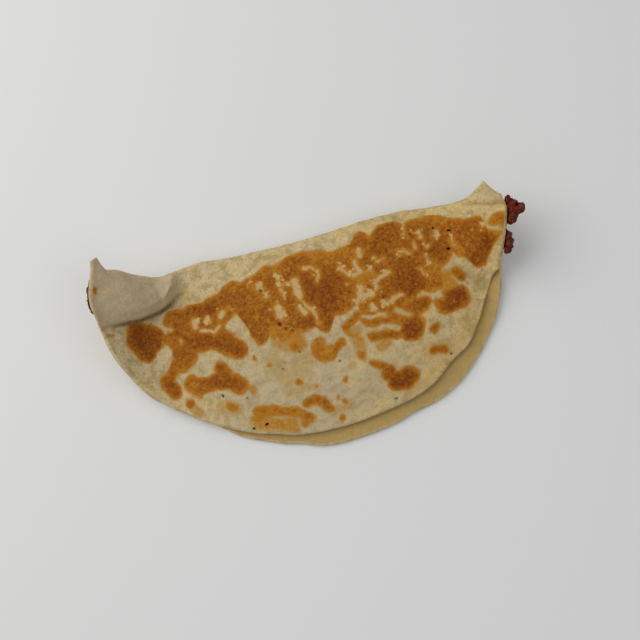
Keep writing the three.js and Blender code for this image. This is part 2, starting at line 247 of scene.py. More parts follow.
def layer_at(layer, station):
    """A layer's place on the fold and its depth from fold to rim, at a station from -1 to 1."""
    u = layer["middle"] + layer["half_length"] * station
    depth = layer["depth"] * np.sqrt(1 - station**2)
    room = 1 - station**WAVE_FADE
    for where, out, width in layer["waves"]:
        depth = depth + out * room * bell(u - where, width)
    return u, depth


def fold_height(u):
    return FOLD["height"] - FOLD["lower"] * smooth(*FOLD["span"], np.abs(u))


def fold_shift(u, side, inset, is_filling=False):
    """How far the fold's edge stands out from a straight line; side is 0 at its bottom and 1 at its top.

    The inner face follows the dog-ear only in part, and the filling doesn't reach into the two ears.
    """
    bow = sum(out * bell(u - where, width) for where, out, width in FOLD_BOWS)
    flare = LEFT_FLARE["out"] * smooth(*LEFT_FLARE["span"], u)
    pull = UPPER_PULL["back"] * side * smooth(*UPPER_PULL["span"], u)
    if is_filling:
        return bow + flare - pull
    ear = EAR["out"] * side * peak(u, EAR) ** EAR["narrowing"]
    share = np.where(inset > SHEET / 2, DOG_EAR["inside"], 1)
    lowness = (1 - side) ** DOG_EAR["narrowing"]
    dog_ear = DOG_EAR["out"] * share * lowness * peak(u, DOG_EAR)
    return bow + flare + ear + dog_ear - pull


def crease_line(u):
    along = np.maximum(-CREASE["run_up"], CREASE["start"] - u)
    drift = CREASE["drift"] * np.maximum(0, CREASE["drift_from"] - u)
    return -CREASE["depth"] * (1 - np.exp(-along / CREASE["turn"])) - drift


def crease_steepness(u):
    along = np.maximum(-CREASE["run_up"], CREASE["start"] - u)
    return CREASE["depth"] / CREASE["turn"] * np.exp(-along / CREASE["turn"])


def crease_distance(u, v):
    """Distance from the crease, positive on the flap's side."""
    return (v - crease_line(u)) / np.hypot(1, crease_steepness(u))


def beside_crease(u, v, line):
    """A soft line of the given width in front of the crease, from 0 to 1."""
    return bell(crease_distance(u, v) + line["in_front"], line["width"])


def flap_strength(u):
    flatter, start, end = FLAP["flatter"]
    return smooth(*FLAP["full"], u) * (1 - flatter * smooth(start, end, u))


def crease_sharpness(u):
    return flap_strength(u) * smooth(*CREASE_FADE, u)


def flap_relief(u, v):
    soft, firm, start, end = FLAP["shoulder"]
    width = mix(soft, firm, smooth(start, end, u))
    less, low, high = FLAP["low_at_fold"]
    distance = crease_distance(u, v) + FLAP["foot"]
    puff = FLAP["rise"] * (1 - less * smooth(low, high, v)) * smooth(0, 1, distance / (width + FLAP["foot"]))
    return (puff - FLAP["trough"] * bell(distance, FLAP["trough_width"])) * flap_strength(u)


def top_height(station, fraction, u, v, from_fold, is_filling=False):
    """Height of the top of the upper layer, at a station and a fraction of the way from fold to rim."""
    reach = np.sqrt(station**2 + fraction**2 * (1 - station**2))
    inside = (1 - reach) * UPPER["depth"]
    body = (smooth(BULGE["rim"], BULGE["soon"], inside) + smooth(0, BULGE["slowly"], inside)) / 2
    height = 2 * SHEET + RIM_GAP + FILLING_HEIGHT * body
    height = height + bumps(MOUTHS, u, v)
    height = mix(fold_height(u), height, smooth(0, FOLD_BLEND, from_fold))
    height = height + bumps(SWELLS, u, v)
    if is_filling:
        height = height - FLAP["trough"] * smooth(*FLAP["full"], u)
        return height - UNDER_VALLEY["by"] * smooth(*UNDER_VALLEY["span"], u)
    for start, end, rise, width in PLEATS:
        height = height + rise * bell(line_distance(u, v, start, end), width)
    return height + flap_relief(u, v) * smooth(0, FLAP["fade_at_fold"], from_fold)


def curl(flat):
    """The nest's curl, applied to points of the flat shape. The result is in the part's frame, in mm."""
    u, v, h = flat[..., 0], flat[..., 1], flat[..., 2]
    u = u + sum(along * smooth(start, end, u) * bell(v - where, width)
                for start, end, where, along, width in END_WAVES)
    across = v - NEST["v"]
    away = np.hypot(u, across)
    turn = np.clip((away - NEST["floor"]) / NEST["arc"], 0, NEST["slope"])
    straight = np.maximum(0, away - NEST["floor"] - NEST["arc"] * NEST["slope"])
    out = np.minimum(away, NEST["floor"]) + (NEST["arc"] - h) * np.sin(turn) + straight * np.cos(turn)
    up = NEST["arc"] * (1 - np.cos(turn)) + straight * np.sin(turn) + h * np.cos(turn)
    scale = out / np.maximum(away, TINY)
    x = u * scale - FOOTPRINT_MIDDLE[0]
    y = NEST["v"] + across * scale - FOOTPRINT_MIDDLE[1]
    return places(x, y, up)


def lower_flat(station, fraction, inset, is_filling=False, wobble=0.0):
    u, depth = layer_at(LOWER, station)
    radius = fold_height(layer_at(UPPER, station)[0]) / 2
    shift = fold_shift(u, 0, inset, is_filling) * (1 - fraction) ** 2
    v = shift - mix(radius, depth, fraction) - wobble * fraction**WOBBLE_FADE
    return places(u, v, inset)


def upper_flat(station, fraction, inset, is_filling=False, wobble=0.0):
    u, depth = layer_at(UPPER, station)
    from_fold = mix(fold_height(u) / 2, depth, fraction)
    v = fold_shift(u, 1, inset, is_filling) * (1 - fraction) ** 2 - from_fold - wobble * fraction**WOBBLE_FADE
    top = top_height(station, fraction, u, v, from_fold, is_filling)
    if not is_filling:
        distance = crease_distance(u, v)
        lean = OVERHANG["by"] * bell(distance - OVERHANG["at"], OVERHANG["width"]) * crease_sharpness(u)
        steep = crease_steepness(u)
        u = u + lean * steep / np.hypot(1, steep)
        v = v - lean / np.hypot(1, steep)
    return places(u, v, top - inset)


def fold_flat(station, angle, inset, is_filling=False):
    upper_u, _ = layer_at(UPPER, station)
    lower_u, _ = layer_at(LOWER, station)
    radius = fold_height(upper_u) / 2
    side = (1 + np.sin(angle)) / 2
    top_edge = fold_shift(upper_u, 1, inset, is_filling) - radius
    top = top_height(station, 0, upper_u, top_edge, radius, is_filling)
    lower_shift = fold_shift(lower_u, side, inset, is_filling)
    upper_shift = fold_shift(upper_u, side, inset, is_filling)
    shift = mix(lower_shift, upper_shift, side)
    u = mix(lower_u, upper_u, side)
    v = shift - radius + (radius - inset) * np.cos(angle)
    return places(u, v, mix(inset, top - inset, side))


def station_at(count, tip):
    """Stations from tip to tip, somewhat closer together towards the tips."""
    t = np.linspace(-1, 1, count)
    return mix(t * math.sin(tip), np.sin(t * tip), TIP_CROWDING)


# Toast marks of the top: the band's two edges, then strokes, each a radius and a path, in (u, v) mm

BAND_TOP = [
    (-73, -24), (-71.5, -20.5), (-68, -18), (-60, -18.7), (-50, -19), (-47, -17.6), (-42, -17), (-40, -14.4),
    (-38, -13.8), (-35, -12.8), (-31, -14), (-28.5, -13), (-24, -12), (-20, -9.6), (-15, -10.4),
    (-12.5, -9.6), (-8, -7.4), (-5, -8), (-1.5, -6.8), (2, -7.8), (7, -8.2), (12, -10.2), (17, -9.4),
    (20, -8.6), (22, -5.4), (25, -4.4), (27, -5.6), (29.5, -7.6), (31, -6.4), (34, -3.8), (38, -3.2),
    (42, -3.4), (45, -5), (47, -4.4), (50, -5.2), (54, -4.2), (57, -2.8), (60, -2.9), (65, -4), (70, -6),
    (75, -7.4), (80, -7.7), (85, -7.8), (87.4, -9.4), (88.4, -14.4), (90, -16.6), (93, -18.2), (98, -19.8),
]
BAND_BOTTOM = [
    (-73, -22), (-69, -26), (-64, -28.4), (-58, -31), (-50, -31), (-42, -30), (-36, -27), (-34, -30),
    (-33, -38.4), (-31, -41.6), (-29, -43.2), (-26.6, -43), (-25, -41), (-24, -39), (-21, -37), (-20, -44),
    (-13.5, -44), (-12.4, -41), (-11, -42.2), (-8, -42.8), (-5, -42.4), (-3.6, -40.8), (-2.8, -43),
    (-0.6, -44.8), (1.4, -45), (3.2, -43.6), (4, -41), (4.6, -38.6), (10, -38.4), (13.6, -37), (15.6, -35.6),
    (17.4, -41), (24, -43), (31, -44.6), (32.4, -40), (38, -39.6), (48, -38.8), (52, -38), (55.8, -38),
    (56.2, -31), (56.8, -28.4), (59, -27.6), (61.5, -24.8), (63.6, -22.4), (65, -25.4), (69, -26.2),
    (71, -28.6), (73, -31.2), (76, -32.2), (78, -31.2), (82, -29.2), (86, -27.2), (89, -24.2), (93, -22.2),
    (98, -19.8),
]
BROWN_STROKES = [
    # the dark round patch at the left
    (7.2, (-87, -26), (-84, -31)), (5.4, (-80, -26), (-77, -29.5)), (3.7, (-83, -35)),
    (2.2, (-75, -29.8), (-66, -31)),
    # the lobes below the left end of the band
    (4.8, (-66, -31), (-60, -35), (-50, -35.5)), (4.5, (-50, -36), (-44, -39), (-39.5, -43)),
    (3.2, (-47, -32.5), (-42, -34)), (4.2, (-64, -36), (-64, -42)), (3.4, (-61, -41), (-67, -43)),
    (2.8, (-68, -43.5), (-74, -48.5)), (3.8, (-74.4, -49), (-72, -53.5)),
    # the bar near the open edge at the left, and spots round it
    (3.6, (-62.5, -52.4), (-60, -55), (-52, -54.6), (-45, -56), (-41.7, -58.8)),
    (2.8, (-48.3, -49.4), (-46.4, -52.4)), (1.0, (-59.6, -59)), (2.0, (-65, -60.4)),
    (1.1, (-48.6, -66), (-46, -67.6)), (0.8, (-33.2, -49)), (0.3, (-27.4, -53.4)), (1.8, (-15, -47.5)),
    # the ring and the streaks in the middle
    (1.9, (-3, -48.6), (-5.4, -50), (-6, -53), (-3.4, -55.6), (0, -55), (3, -53), (5.8, -51.2)),
    (1.6, (0, -51.6)), (2.0, (-3.4, -52)), (1.8, (9.6, -44.6), (15.4, -41)), (3.2, (19.4, -44), (27, -45.6)),
    (1.9, (19, -51.5), (30, -53)), (1.6, (13, -58.4)),
    # the round patches at the right
    (6.4, (37, -51.4)), (4.2, (33.5, -46), (38, -45), (44.2, -41.4)), (1.6, (33, -41), (36, -40)),
    (4.7, (54, -45), (61.4, -43.4)), (1.6, (51, -43.6)), (2.1, (62.6, -31.8), (64, -34.2)),
    (1.4, (48, -54), (47, -55.4)), (1.7, (44.4, -64), (46.4, -63.4), (48.6, -63.8)),
    # the heart and its tail, and a streak near the right tip
    (3.3, (22.8, -68.8)), (4.1, (31, -71.6)), (2.0, (92.8, -13), (97, -12.8), (98.6, -15.6)),
    (4.0, (25.4, -73), (28.4, -74)), (1.3, (16.4, -63.2), (21, -65.4)),
    # the arches along the open edge
    (1.7, (-37, -71.4), (-30, -72.4), (-23, -74.6), (-19, -77), (-15.5, -79.6)), (1.4, (-36.6, -74)),
    (1.2, (-18, -81)), (1.8, (-15, -73.2), (-11, -72), (-8, -74), (-6.4, -77)), (1.1, (-1.6, -82.6)),
    (1.0, (1.6, -75.8)), (0.5, (3.4, -67.4), (4, -66)), (0.5, (-0.8, -73.6)), (0.9, (-16.6, -63.4)),
    (0.2, (-13, -66.5)), (0.4, (-9.8, -66.9)),
    # small spots near the left tip
    (0.8, (-105.6, -0.9), (-105.6, -1.9)), (0.1, (-103.4, -23.6), (-101.4, -23.4)),
    # two marks near the fold and one near its right end
    (0.2, (-30, -3.4), (-28.8, -3.6)), (0.2, (-23.4, -3.2), (-21.6, -3.4)), (0.1, (88, -5.9)),
]
PALE_STROKES = [
    (0.8, (-78, -21), (-72, -24.6), (-67, -27)), (1.3, (-55.3, -25.5), (-54.8, -28)),
    (0.7, (-49, -26), (-48.4, -27.6)), (1.1, (-43.6, -27), (-42.4, -25.4)),
    (0.8, (-52.6, -30.4), (-49.4, -31.6), (-47.4, -33), (-45, -30.6)), (0.7, (-63, -33.4)),
    (1.6, (-40.6, -31.6), (-38.4, -34)), (1.1, (-24, -17), (-24, -18.4)), (0.5, (-22.4, -23.6), (-21, -23)),
    (0.5, (-14.6, -15.4), (-14.3, -19.4), (-9.6, -20)), (0.5, (-14.4, -20), (-14.2, -25)),
    (1.2, (-8, -19.4), (-8, -22), (-7.4, -27)),
    (0.6, (-6.4, -28.6), (-4.6, -32), (-3.4, -34.4), (-2.4, -38), (-1.6, -40)),
    (1.3, (-8.4, -32), (-7, -35)), (1.5, (-17.5, -29.4), (-17.5, -32.8)),
    (0.4, (-3, -15), (1, -15.3), (2.6, -17.6)), (0.7, (3, -18), (3, -20), (1.6, -22.4)),
    (0.7, (12.6, -18.4), (15, -21), (18, -23), (21, -22.6)), (0.9, (19.5, -17), (20.5, -20), (21.4, -22)),
    (0.9, (22.7, -13), (22.8, -14.8)), (0.7, (29, -17.5)), (0.2, (29.6, -19.2), (33, -19)),
    (0.4, (14.8, -26.5)), (1.1, (19.6, -29), (19.4, -31), (18, -33.6), (16, -35.4)),
    (1.4, (19.6, -33), (24, -33)), (0.8, (26.5, -29), (26.5, -31.4)),
    (0.8, (26.4, -28.4), (29, -27), (33, -26)), (0.2, (24, -23), (25.4, -22.4), (27, -25)),
    (1.1, (22.8, -38.6), (23.6, -40.4)), (1.0, (28, -38), (28.6, -39.6)),
    (1.2, (31.4, -38.8), (33.6, -37.4), (35.8, -36.8)),
    (0.8, (17.6, -42), (21, -43.2), (25, -43.6), (27, -44.2)), (0.9, (32.6, -42.8), (35, -44), (38, -45.4)),
    (1.1, (23, -49.3), (28, -49), (31, -50)), (0.9, (15, -45), (15.4, -48), (16.4, -52), (18, -55)),
    (0.2, (44.8, -5), (44.6, -11)), (1.0, (51, -11.4), (51.3, -13.2)), (0.7, (47.2, -15.6), (47.6, -17.8)),
    (0.8, (58.5, -11.6), (58.5, -14)), (0.3, (40, -17.8), (43, -18), (45, -20)),
    (0.5, (53, -18.2), (54.4, -17.6)), (0.3, (65.8, -16.6), (66.4, -19.6)), (0.2, (51, -22), (52, -25)),
    (0.4, (47.6, -28), (48.4, -30)), (0.6, (44, -38.6), (49, -39)), (1.4, (50.4, -39.8), (53, -40.6)),
    (0.7, (88.8, -12), (86.6, -13)), (0.3, (-0.8, -49.4), (0.6, -49.4)),
]
# Soft stains: radius, strength and path
GOLD_STROKES = [
    (2.0, 0.7, (-64, -62), (-62.6, -66)), (3.0, 0.5, (-45, -68), (-52, -65.6)),
    (1.9, 0.8, (-36.8, -61), (-36.4, -63)), (3.6, 0.9, (-38, -75), (-30, -79), (-24, -80)),
    (1.6, 0.8, (-22.4, -83)), (2.5, 0.8, (-18, -81), (-15, -80)), (4.5, 0.75, (-20, -44), (-15, -46)),
    (6.0, 0.4, (-25, -53), (-18, -61), (-13, -55)), (2.0, 0.4, (-22, -67), (-9, -66.5)),
    (3.0, 0.75, (13, -48), (13, -59)), (2.0, 0.5, (8, -62)), (3.8, 1.0, (57, -33), (58, -38)),
    (3.0, 1.0, (92.4, -12.6), (97, -13), (99, -16)), (2.2, 0.7, (22, -57)), (4.0, 0.4, (42, -64), (50, -63)),
    (2.0, 0.5, (3, -78), (-5, -79)), (2.0, 0.4, (-2, -86)), (3.0, 0.8, (56, -36), (60, -33)),
    (4.0, 1.0, (-21, -40), (-14, -42), (-13, -47)), (2.4, 0.8, (22, -57), (25, -56)),
    (2.2, 0.9, (10, -46.6), (13, -49.6), (14, -53)), (3.0, 0.8, (13, -58.5)), (0.8, 0.35, (-92.8, -1.8)),
    (0.8, 0.35, (-95.1, 3.1)), (5.0, 0.34, (30, -82), (42, -75), (52, -66)),
    (5.0, 0.3, (66, -50), (60, -60), (50, -68)), (2.5, 0.7, (-15, -11), (-5, -9)),
    (2.5, 0.7, (55, -5), (64, -6)), (0.9, 0.6, (14.5, -81)), (1.2, 0.4, (9, -69)),
]
# Where the toast is darkest
CHAR_STROKES = [
    (8.0, 0.65, (-87, -27), (-82, -32)), (3.6, 0.85, (73, -29.4), (80, -26.6), (88, -21.6)),
    (5.0, 0.7, (57, -44.5), (61, -43.4)), (6.0, 0.6, (41, -26), (40, -31)), (7.0, 0.4, (-1, -24), (4, -33)),
    (4.0, 0.5, (-7, -38)), (5.0, 0.6, (37, -53)), (5.0, 0.65, (27, -73)), (5.0, 0.3, (40, -9)),
    (5.0, 0.4, (57, -20)), (4.0, 0.35, (-50, -55), (-44, -57)), (5.0, 0.3, (-45, -35), (-55, -34)),
    (6.0, 0.3, (-50, -21)),
]
# Where the toast is lightest
LIGHT_STROKES = [
    (3.0, 0.6, (-20, -12), (-13, -12)), (3.5, 0.8, (4, -10), (10, -12)), (3.0, 0.5, (14, -12), (19, -13)),
    (2.5, 0.7, (20, -25), (25, -26)), (4.0, 0.6, (50, -25), (54, -33)), (3.0, 0.6, (52, -36), (58, -36)),
    (3.0, 0.7, (54, -6), (66, -6)), (4.0, 0.7, (-20, -38), (-15, -42)), (3.0, 0.7, (-71, -21), (-67, -22)),
    (3.5, 0.6, (-64, -52), (-60, -58)), (2.5, 0.6, (-72, -31), (-66, -32)),
    (3.5, 0.4, (-25, -19), (-20, -23)), (2.5, 0.5, (30, -41), (33, -47)), (2.5, 0.6, (43, -46), (44, -50)),
    (3.0, 0.6, (68, -22), (66, -18)), (2.5, 0.6, (92, -20), (96, -20)), (4.0, 0.3, (92, -13), (98, -14)),
    (3.0, 0.6, (-36, -73), (-20, -77)), (5.0, 0.6, (-5.6, -51), (-2, -54)),
    (3.0, 0.2, (-40, -24), (-36, -16)),
]
# Black flecks lying on the toast: middle, length, width and turn in degrees
FLECKS = [
    ((66.4, -12), 2.3, 1.1, 0),
    ((61.9, -21.2), 2.1, 1.0, 0),
    ((58, -10.2), 1.3, 0.9, 30),
    ((-50.2, -60.8), 2.1, 0.9, 95),
    ((-34.4, -77.4), 1.9, 0.9, 20),
    ((-40.3, -77.9), 1.1, 0.9, 0),
]
# Small dark specks in the skin: u, v and radius
SPECKS = [
    (-18.6, -36.6, 1.0), (-16.4, -39.3, 0.8), (-14, -40.7, 0.5), (-13.5, -38.3, 0.4), (-23.6, -19.8, 0.7),
    (-31.2, -23.6, 0.6), (76, -33.3, 0.4), (51.4, -66.5, 0.6), (23, -80, 0.6), (44.1, -21, 0.5),
    (54, -20.5, 0.3), (28.7, -36, 0.5), (-9, -26.3, 0.3), (3, -58.5, 0.5), (-22, -56, 0.4),
    (-13, -50.6, 0.4), (-20.6, -53.5, 0.4), (-39.9, -64.7, 0.4),
]
FLECK_SEED = 3
FLECK_ABOVE = 0.35
FLECK_HEIGHT = 0.3
FLECK_BUMPS = ((0.25, 2),)

WARP = (5, 0.7, 3.0)
FINE_WARP = (1.9, 0.25, 9.0)
TOAST_GROWTH = 0.1
PALE_GROWTH = 0.3
# Distances to the toast's edge are cut off here
EDGE_LIMIT = 6.0
# A stain begins and is full at these shares of its radius, and a speck's edge is this soft
STAIN_EDGE = (1.5, 0.4)
SPECK_SOFTNESS = 0.4
# How far inside the band its pale holes are in full
LACE_REACH = 3
# Toast of the underside: patches with holes, plain by the rims, and darker where its noise is high
UNDER_PATCHES = {"size": 17, "shift": 21.0, "least": 0.1, "steepness": 7}
UNDER_HOLES = (6.0, 0.55, 31.0)
UNDER_RIM = {"share": (1.0, 0.9), "edge": 3}
UNDER_CHAR = (15, 1, 41.0)
UNDER_CHAR_SPAN = (0.1, 0.7)
# Flour: a wide patch near the open edge, and the flap
FLOUR = {"u": -6, "v": -66, "longer": 1.5, "width": 30, "strength": 0.75}
FLAP_FLOUR = {"span": (-52, -66), "strength": 0.85}
# The dough gets yellower between these places along the fold
YELLOWER = (-40, 95)
# The marks of the skin that its material reads; crease is painted shade in the creases, the valleys and along
# the dog-ear's fold line
SKIN_MARKS = ("toast_edge", "gold", "lace", "char", "flour", "inside", "speck", "crease", "yellow")
# The painted shade line at the foot of the flap, and a softer, wider painted shade in front of it
CREASE_LINE = {"in_front": 0.6, "width": 0.8}
SOFT_CREASE_SHADE = {"in_front": 2.0, "width": 3.6, "shade": 0.5}
# The painted shade along the soft valleys near the right tip: width, strength and path
VALLEY_SHADES = [(2.8, 0.22, (66, -34), (84, -44)), (2.6, 0.12, (82, -42), (78, -53), (70, -61))]


def path_distance(u, v, path):
    if len(path) == 1:
        return np.hypot(u - path[0][0], v - path[0][1])
    return np.min([line_distance(u, v, a, b) for a, b in zip(path, path[1:])], axis=0)


def band_edge(u, v):
    """How far inside the main band a point is, in mm, and negative outside it."""
    top_u, top_v = zip(*BAND_TOP)
    bottom_u, bottom_v = zip(*BAND_BOTTOM)
    return np.minimum(np.interp(u, top_u, top_v) - v, v - np.interp(u, bottom_u, bottom_v))


def warped(u, v):
    """Flat places moved about a little, so that drawn marks get uneven edges."""
    points = places(u, v, 0)
    for warp in (WARP, FINE_WARP):
        u = u + noise_of(warp, points)
        v = v + noise_of(warp, points, APART["directions"])
    return u, v


def toast_edge(u, v):
    """Signed distance to the edge of the toast marks of the top, in mm, positive inside."""
    u, v = warped(u, v)
    edge = band_edge(u, v)
    for radius, *path in BROWN_STROKES:
        edge = np.maximum(edge, radius - path_distance(u, v, path))
    edge = edge + TOAST_GROWTH
    for radius, *path in PALE_STROKES:
        edge = np.minimum(edge, path_distance(u, v, path) - radius - PALE_GROWTH)
    return np.clip(edge, -EDGE_LIMIT, EDGE_LIMIT)


def stains(u, v, strokes):
    u, v = warped(u, v)
    strength = np.zeros_like(u)
    for radius, amount, *path in strokes:
        stain = amount * smooth(*STAIN_EDGE, path_distance(u, v, path) / radius)
        strength = np.maximum(strength, stain)
    return strength


def underside_edge(points):
    """Toast marks of the underside, which the photograph doesn't show: patches of the same kind and size."""
    lace = rough(points, UNDER_PATCHES["size"], UNDER_PATCHES["shift"]) - noise_of(UNDER_HOLES, points)
    edge = (lace - UNDER_PATCHES["least"]) * UNDER_PATCHES["steepness"]
    return np.clip(edge, -EDGE_LIMIT, EDGE_LIMIT)


# Meshes

def add_object(name, data):
    made = bpy.data.objects.new(name, data)
    bpy.context.scene.collection.objects.link(made)
    return made


def mesh_object(name, points, faces, smooth_faces=True):
    """A mesh object from points in mm."""
    mesh = bpy.data.meshes.new(name)
    mesh.from_pydata((np.asarray(points) * MM).tolist(), [], faces)
    mesh.validate()
    if smooth_faces:
        mesh.polygons.foreach_set("use_smooth", [True] * len(mesh.polygons))
    mesh.update()
    return add_object(name, mesh)


def ring_faces(rings, size):
    """Quads between neighbouring closed rings of points."""
    start = np.arange(rings - 1)[:, None] * size
    here = np.arange(size)[None, :]
    after = (here + 1) % size
    quads = np.stack([start + here, start + after, start + size + after, start + size + here], axis=-1)
    return quads.reshape(-1, 4).tolist()


def zip_strip(outer, inner, marks, flip):
    """Triangles between two rows of a ring's points that face each other.

    Each point has a mark, its place along the row. Points with like marks are joined.
    """
    size = len(marks)
    faces = []
    i = j = 0
    while i < len(outer) - 1 or j < len(inner) - 1:
        more_outer = i < len(outer) - 1
        more_inner = j < len(inner) - 1
        if more_outer and (not more_inner or marks[outer[i + 1] % size] <= marks[inner[j + 1] % size]):
            faces.append((outer[i], outer[i + 1], inner[j]))
            i += 1
        else:
            faces.append((outer[i], inner[j + 1], inner[j]))
            j += 1
    return [face[::-1] for face in faces] if flip else faces


def closed_faces(rings, size, outer_count, marks):
    """Faces of a tube of closed rings, with a strip of triangles across each of its ends."""
    outer = list(range(outer_count))
    inner = [size - 1 - k for k in range(size - outer_count)]
    last = (rings - 1) * size
    first_end = zip_strip(outer, inner, marks, True)
    last_end = zip_strip([last + k for k in outer], [last + k for k in inner], marks, False)
    return ring_faces(rings, size) + first_end + last_end


def steps(start, end, count):
    """Even steps from start towards end, which is left out."""
    return np.linspace(start, end, count, endpoint=False)


def relief(points, u, v):
    """How far the skin stands out of the plain shape, in mm."""
    height = sum(noise_of(kind, points) for kind in (LUMPS, PUFFS, GRAIN))
    across = places(u / WRINKLES["along"], v / WRINKLES["across"], 0)
    near = bell(np.hypot(u - WRINKLES["u"], v - WRINKLES["v"]), WRINKLES["width"])
    return height + WRINKLES["by"] * near * noise(across, 1.0, WRINKLES["shift"])


def groove(u, v):
    """The narrow groove under the flap's edge, in mm."""
    return GROOVE["by"] * beside_crease(u, v, GROOVE) * crease_sharpness(u)


def ear_line(side, u):
    return bell(side - EAR_LINE["side"], EAR_LINE["width"]) * smooth(*EAR_LINE["span"], u)


def tip_stations():
    """The stations of the rings, with a few close ones at each tip to round the cut end."""
    tip = math.sin(TIP_ANGLE)
    setback = np.array(TIP_SETBACKS) / UPPER["half_length"]
    inner = station_at(STATIONS, TIP_ANGLE)[1:-1]
    inner = inner[np.abs(inner) < tip - setback[-1] - TIP_ROOM / UPPER["half_length"]]
    return np.concatenate([setback - tip, inner, tip - setback[::-1]])


def half_thickness(stations):
    """Half the sheet's thickness at each station, less towards the very tips."""
    tip = math.sin(TIP_ANGLE)
    setback = (tip - np.abs(stations)) * UPPER["half_length"]
    rounding = np.sqrt(np.clip(1 - (1 - setback / RIM_ROUND) ** 2, 0, 1))
    return SHEET / 2 * np.where(setback < RIM_ROUND, mix(TIP_THINNESS, 1, rounding), 1)


def fold_tortilla():
    """The tortilla's points, one closed ring a station, in its flat shape.

    With them come the number of points in each stretch of a ring, and each point's mark along it.
    """
    stations = tip_stations()[:, None]
    half = half_thickness(stations)
    reach = 1 - RIM_ROUND / layer_at(LOWER, stations)[1]
    upper_reach = 1 - RIM_ROUND / layer_at(UPPER, stations)[1]
    along_rim = places(stations * UPPER["half_length"], 0, 0)
    wobble = noise_of(RIM_WOBBLE, along_rim)
    lower_wobble = noise_of(RIM_WOBBLE, along_rim, APART["rims"])
    outer_inset = SHEET / 2 - half
    inner_inset = SHEET / 2 + half

    def outer(make, where, **kind):
        plain = make(stations, where, outer_inset, **kind)
        stand = relief(curl(plain), plain[..., 0], plain[..., 1])
        if make is lower_flat:
            stand = np.minimum(stand, 0)
        if make is upper_flat:
            stand = stand - groove(plain[..., 0], plain[..., 1])
        if make is fold_flat:
            stand = stand - EAR_LINE["deep"] * ear_line((1 + np.sin(where)) / 2, plain[..., 0])
        return make(stations, where, outer_inset - stand, **kind)

    lower = steps(1, 0, LOWER_STEPS) * reach
    fold = steps(-QUARTER_TURN, QUARTER_TURN, FOLD_STEPS) + 0 * stations
    upper = np.linspace(0, 1, UPPER_STEPS) * upper_reach
    arc = np.radians(np.array(RIM_ARC))[None, :]
    upper_arc = mix(upper_reach, 1, np.cos(arc))
    lower_arc = mix(reach, 1, np.cos(arc[:, ::-1]))
    inner_upper = (1 - steps(0, 1, INNER_UPPER_STEPS)) * upper_reach
    inner_fold = steps(QUARTER_TURN, -QUARTER_TURN, INNER_FOLD_STEPS) + 0 * stations
    crowded = np.sin(np.linspace(0, QUARTER_TURN, INNER_LOWER_STEPS))
    inner_lower = crowded * reach
    parts = [
        outer(lower_flat, lower, wobble=lower_wobble),
        outer(fold_flat, fold),
        outer(upper_flat, upper, wobble=wobble),
        upper_flat(stations, upper_arc, SHEET / 2 - half * np.sin(arc), wobble=wobble),
        upper_flat(stations, inner_upper, inner_inset, wobble=wobble),
        fold_flat(stations, inner_fold, inner_inset),
        lower_flat(stations, inner_lower, inner_inset, wobble=lower_wobble),
        lower_flat(stations, lower_arc, SHEET / 2 - half * np.sin(arc[:, ::-1]), wobble=lower_wobble),
    ]
    marks = np.concatenate([
        steps(0, 1, LOWER_STEPS),
        steps(1, 2, FOLD_STEPS),
        np.linspace(2, 3, UPPER_STEPS),
        np.full(len(RIM_ARC), 3.0),
        steps(3, 2, INNER_UPPER_STEPS),
        steps(2, 1, INNER_FOLD_STEPS),
        1 - crowded,
        np.zeros(len(RIM_ARC)),
    ])
    sizes = [part.shape[1] for part in parts]
    flat = np.concatenate(parts, axis=1)
    return flat, sizes, marks


